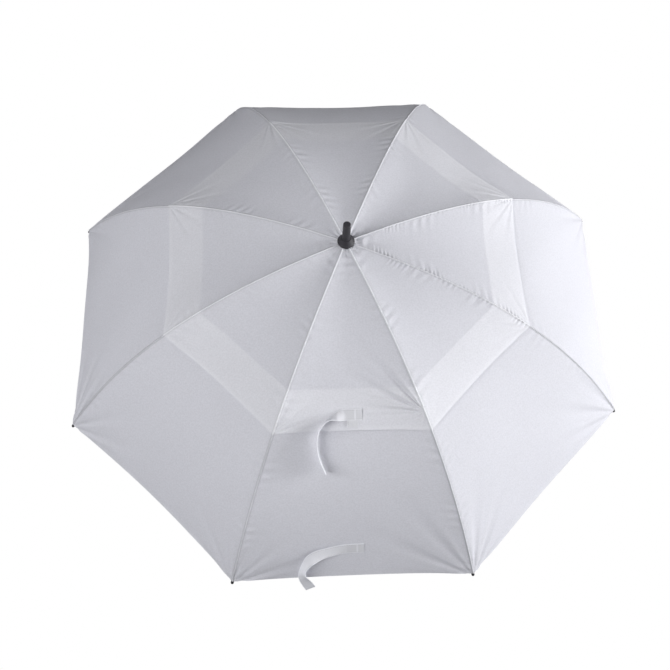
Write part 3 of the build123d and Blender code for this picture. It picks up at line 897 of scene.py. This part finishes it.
def set_floor(context):
    """A wide pale floor that glows a little, as a lit studio sweep does."""
    edge, depth = 30.0, -0.0005
    round_it = ((-1, -1), (1, -1), (1, 1), (-1, 1))
    corners = np.array([(edge * x, edge * y, depth) for x, y in round_it])
    floor = new_object(context.scene.umbrella_studio.backdrop, corners, np.array([[0, 1, 2, 3]]))
    f = Finish("floor_white")
    skin = f.add("ShaderNodeBsdfDiffuse", {"Color": (0.42, 0.42, 0.43, 1)})
    glow = f.add("ShaderNodeEmission", {"Color": (1, 1, 1, 1), "Strength": 1.0})
    seen = f.add("ShaderNodeLightPath").outputs["Is Camera Ray"]
    blend = f.add("ShaderNodeMixShader", {0: seen, 1: skin.outputs[0], 2: glow.outputs[0]})
    dress(floor, f.finish(blend))


# Each light's name, place in metres and power in watts.
LIGHTS = (
    ("key_light", (3.50, -0.10, 1.68), 183),
    ("front_light", (2.60, -2.10, 2.06), 28),
    ("left_light", (-2.84, -0.50, 3.05), 47),
    ("high_light", (-1.85, -1.45, 3.60), 80),
)
LIGHT_SIZE = 1.8
AIM_DEPTH = 0.106  # depth under the canopy's top of the point that the lights face


def set_lights(context):
    """A low soft key from the right, and weaker soft lights from the front, the left and above."""
    aim = Vector((0, 0, CANOPY_TOP - AIM_DEPTH))
    for name, place, power in LIGHTS:
        data = bpy.data.lights.new(name, "AREA")
        data.shape = "SQUARE"
        data.size = LIGHT_SIZE
        data.energy = power
        light = bpy.data.objects.new(name, data)
        facing = (aim - Vector(place)).to_track_quat("-Z", "Y")
        light.matrix_world = Matrix.Translation(Vector(place)) @ facing.to_matrix().to_4x4()
        context.scene.collection.objects.link(light)


def set_surround(context):
    """A faint cool surround that looks plain white where nothing stands in front of it."""
    world = bpy.data.worlds.new("surround")
    world.use_nodes = True
    tree = world.node_tree
    faint = tree.nodes["Background"]
    faint.inputs[0].default_value = (0.93, 0.95, 1.0, 1)
    faint.inputs[1].default_value = 0.04
    white = tree.nodes.new("ShaderNodeBackground")
    white.inputs[0].default_value = (1, 1, 1, 1)
    seen = tree.nodes.new("ShaderNodeLightPath")
    blend = tree.nodes.new("ShaderNodeMixShader")
    tree.links.new(seen.outputs["Is Camera Ray"], blend.inputs[0])
    tree.links.new(faint.outputs[0], blend.inputs[1])
    tree.links.new(white.outputs[0], blend.inputs[2])
    tree.links.new(blend.outputs[0], tree.nodes["World Output"].inputs[0])
    context.scene.world = world


PIECES = (
    UMBRELLA_OT_upper_canopy,
    UMBRELLA_OT_lower_canopy,
    UMBRELLA_OT_rib_tapes,
    UMBRELLA_OT_tie_straps,
    UMBRELLA_OT_finishes,
    UMBRELLA_OT_studio,
)
CLASSES = (UmbrellaSizes, UmbrellaColours, UmbrellaStudio, *PIECES, UMBRELLA_PT_panel)


def register():
    for cls in CLASSES:
        bpy.utils.register_class(cls)
    bpy.types.Scene.umbrella_sizes = PointerProperty(type=UmbrellaSizes)
    bpy.types.Scene.umbrella_colours = PointerProperty(type=UmbrellaColours)
    bpy.types.Scene.umbrella_studio = PointerProperty(type=UmbrellaStudio)


def unregister():
    del bpy.types.Scene.umbrella_studio
    del bpy.types.Scene.umbrella_colours
    del bpy.types.Scene.umbrella_sizes
    for cls in reversed(CLASSES):
        bpy.utils.unregister_class(cls)


def main():
    register()
    bpy.ops.umbrella.upper_canopy()
    bpy.ops.umbrella.lower_canopy()
    bpy.ops.umbrella.rib_tapes()
    bpy.ops.umbrella.tie_straps()
    bpy.ops.umbrella.finishes()
    bpy.ops.umbrella.studio()


if __name__ == "__main__":
    main()
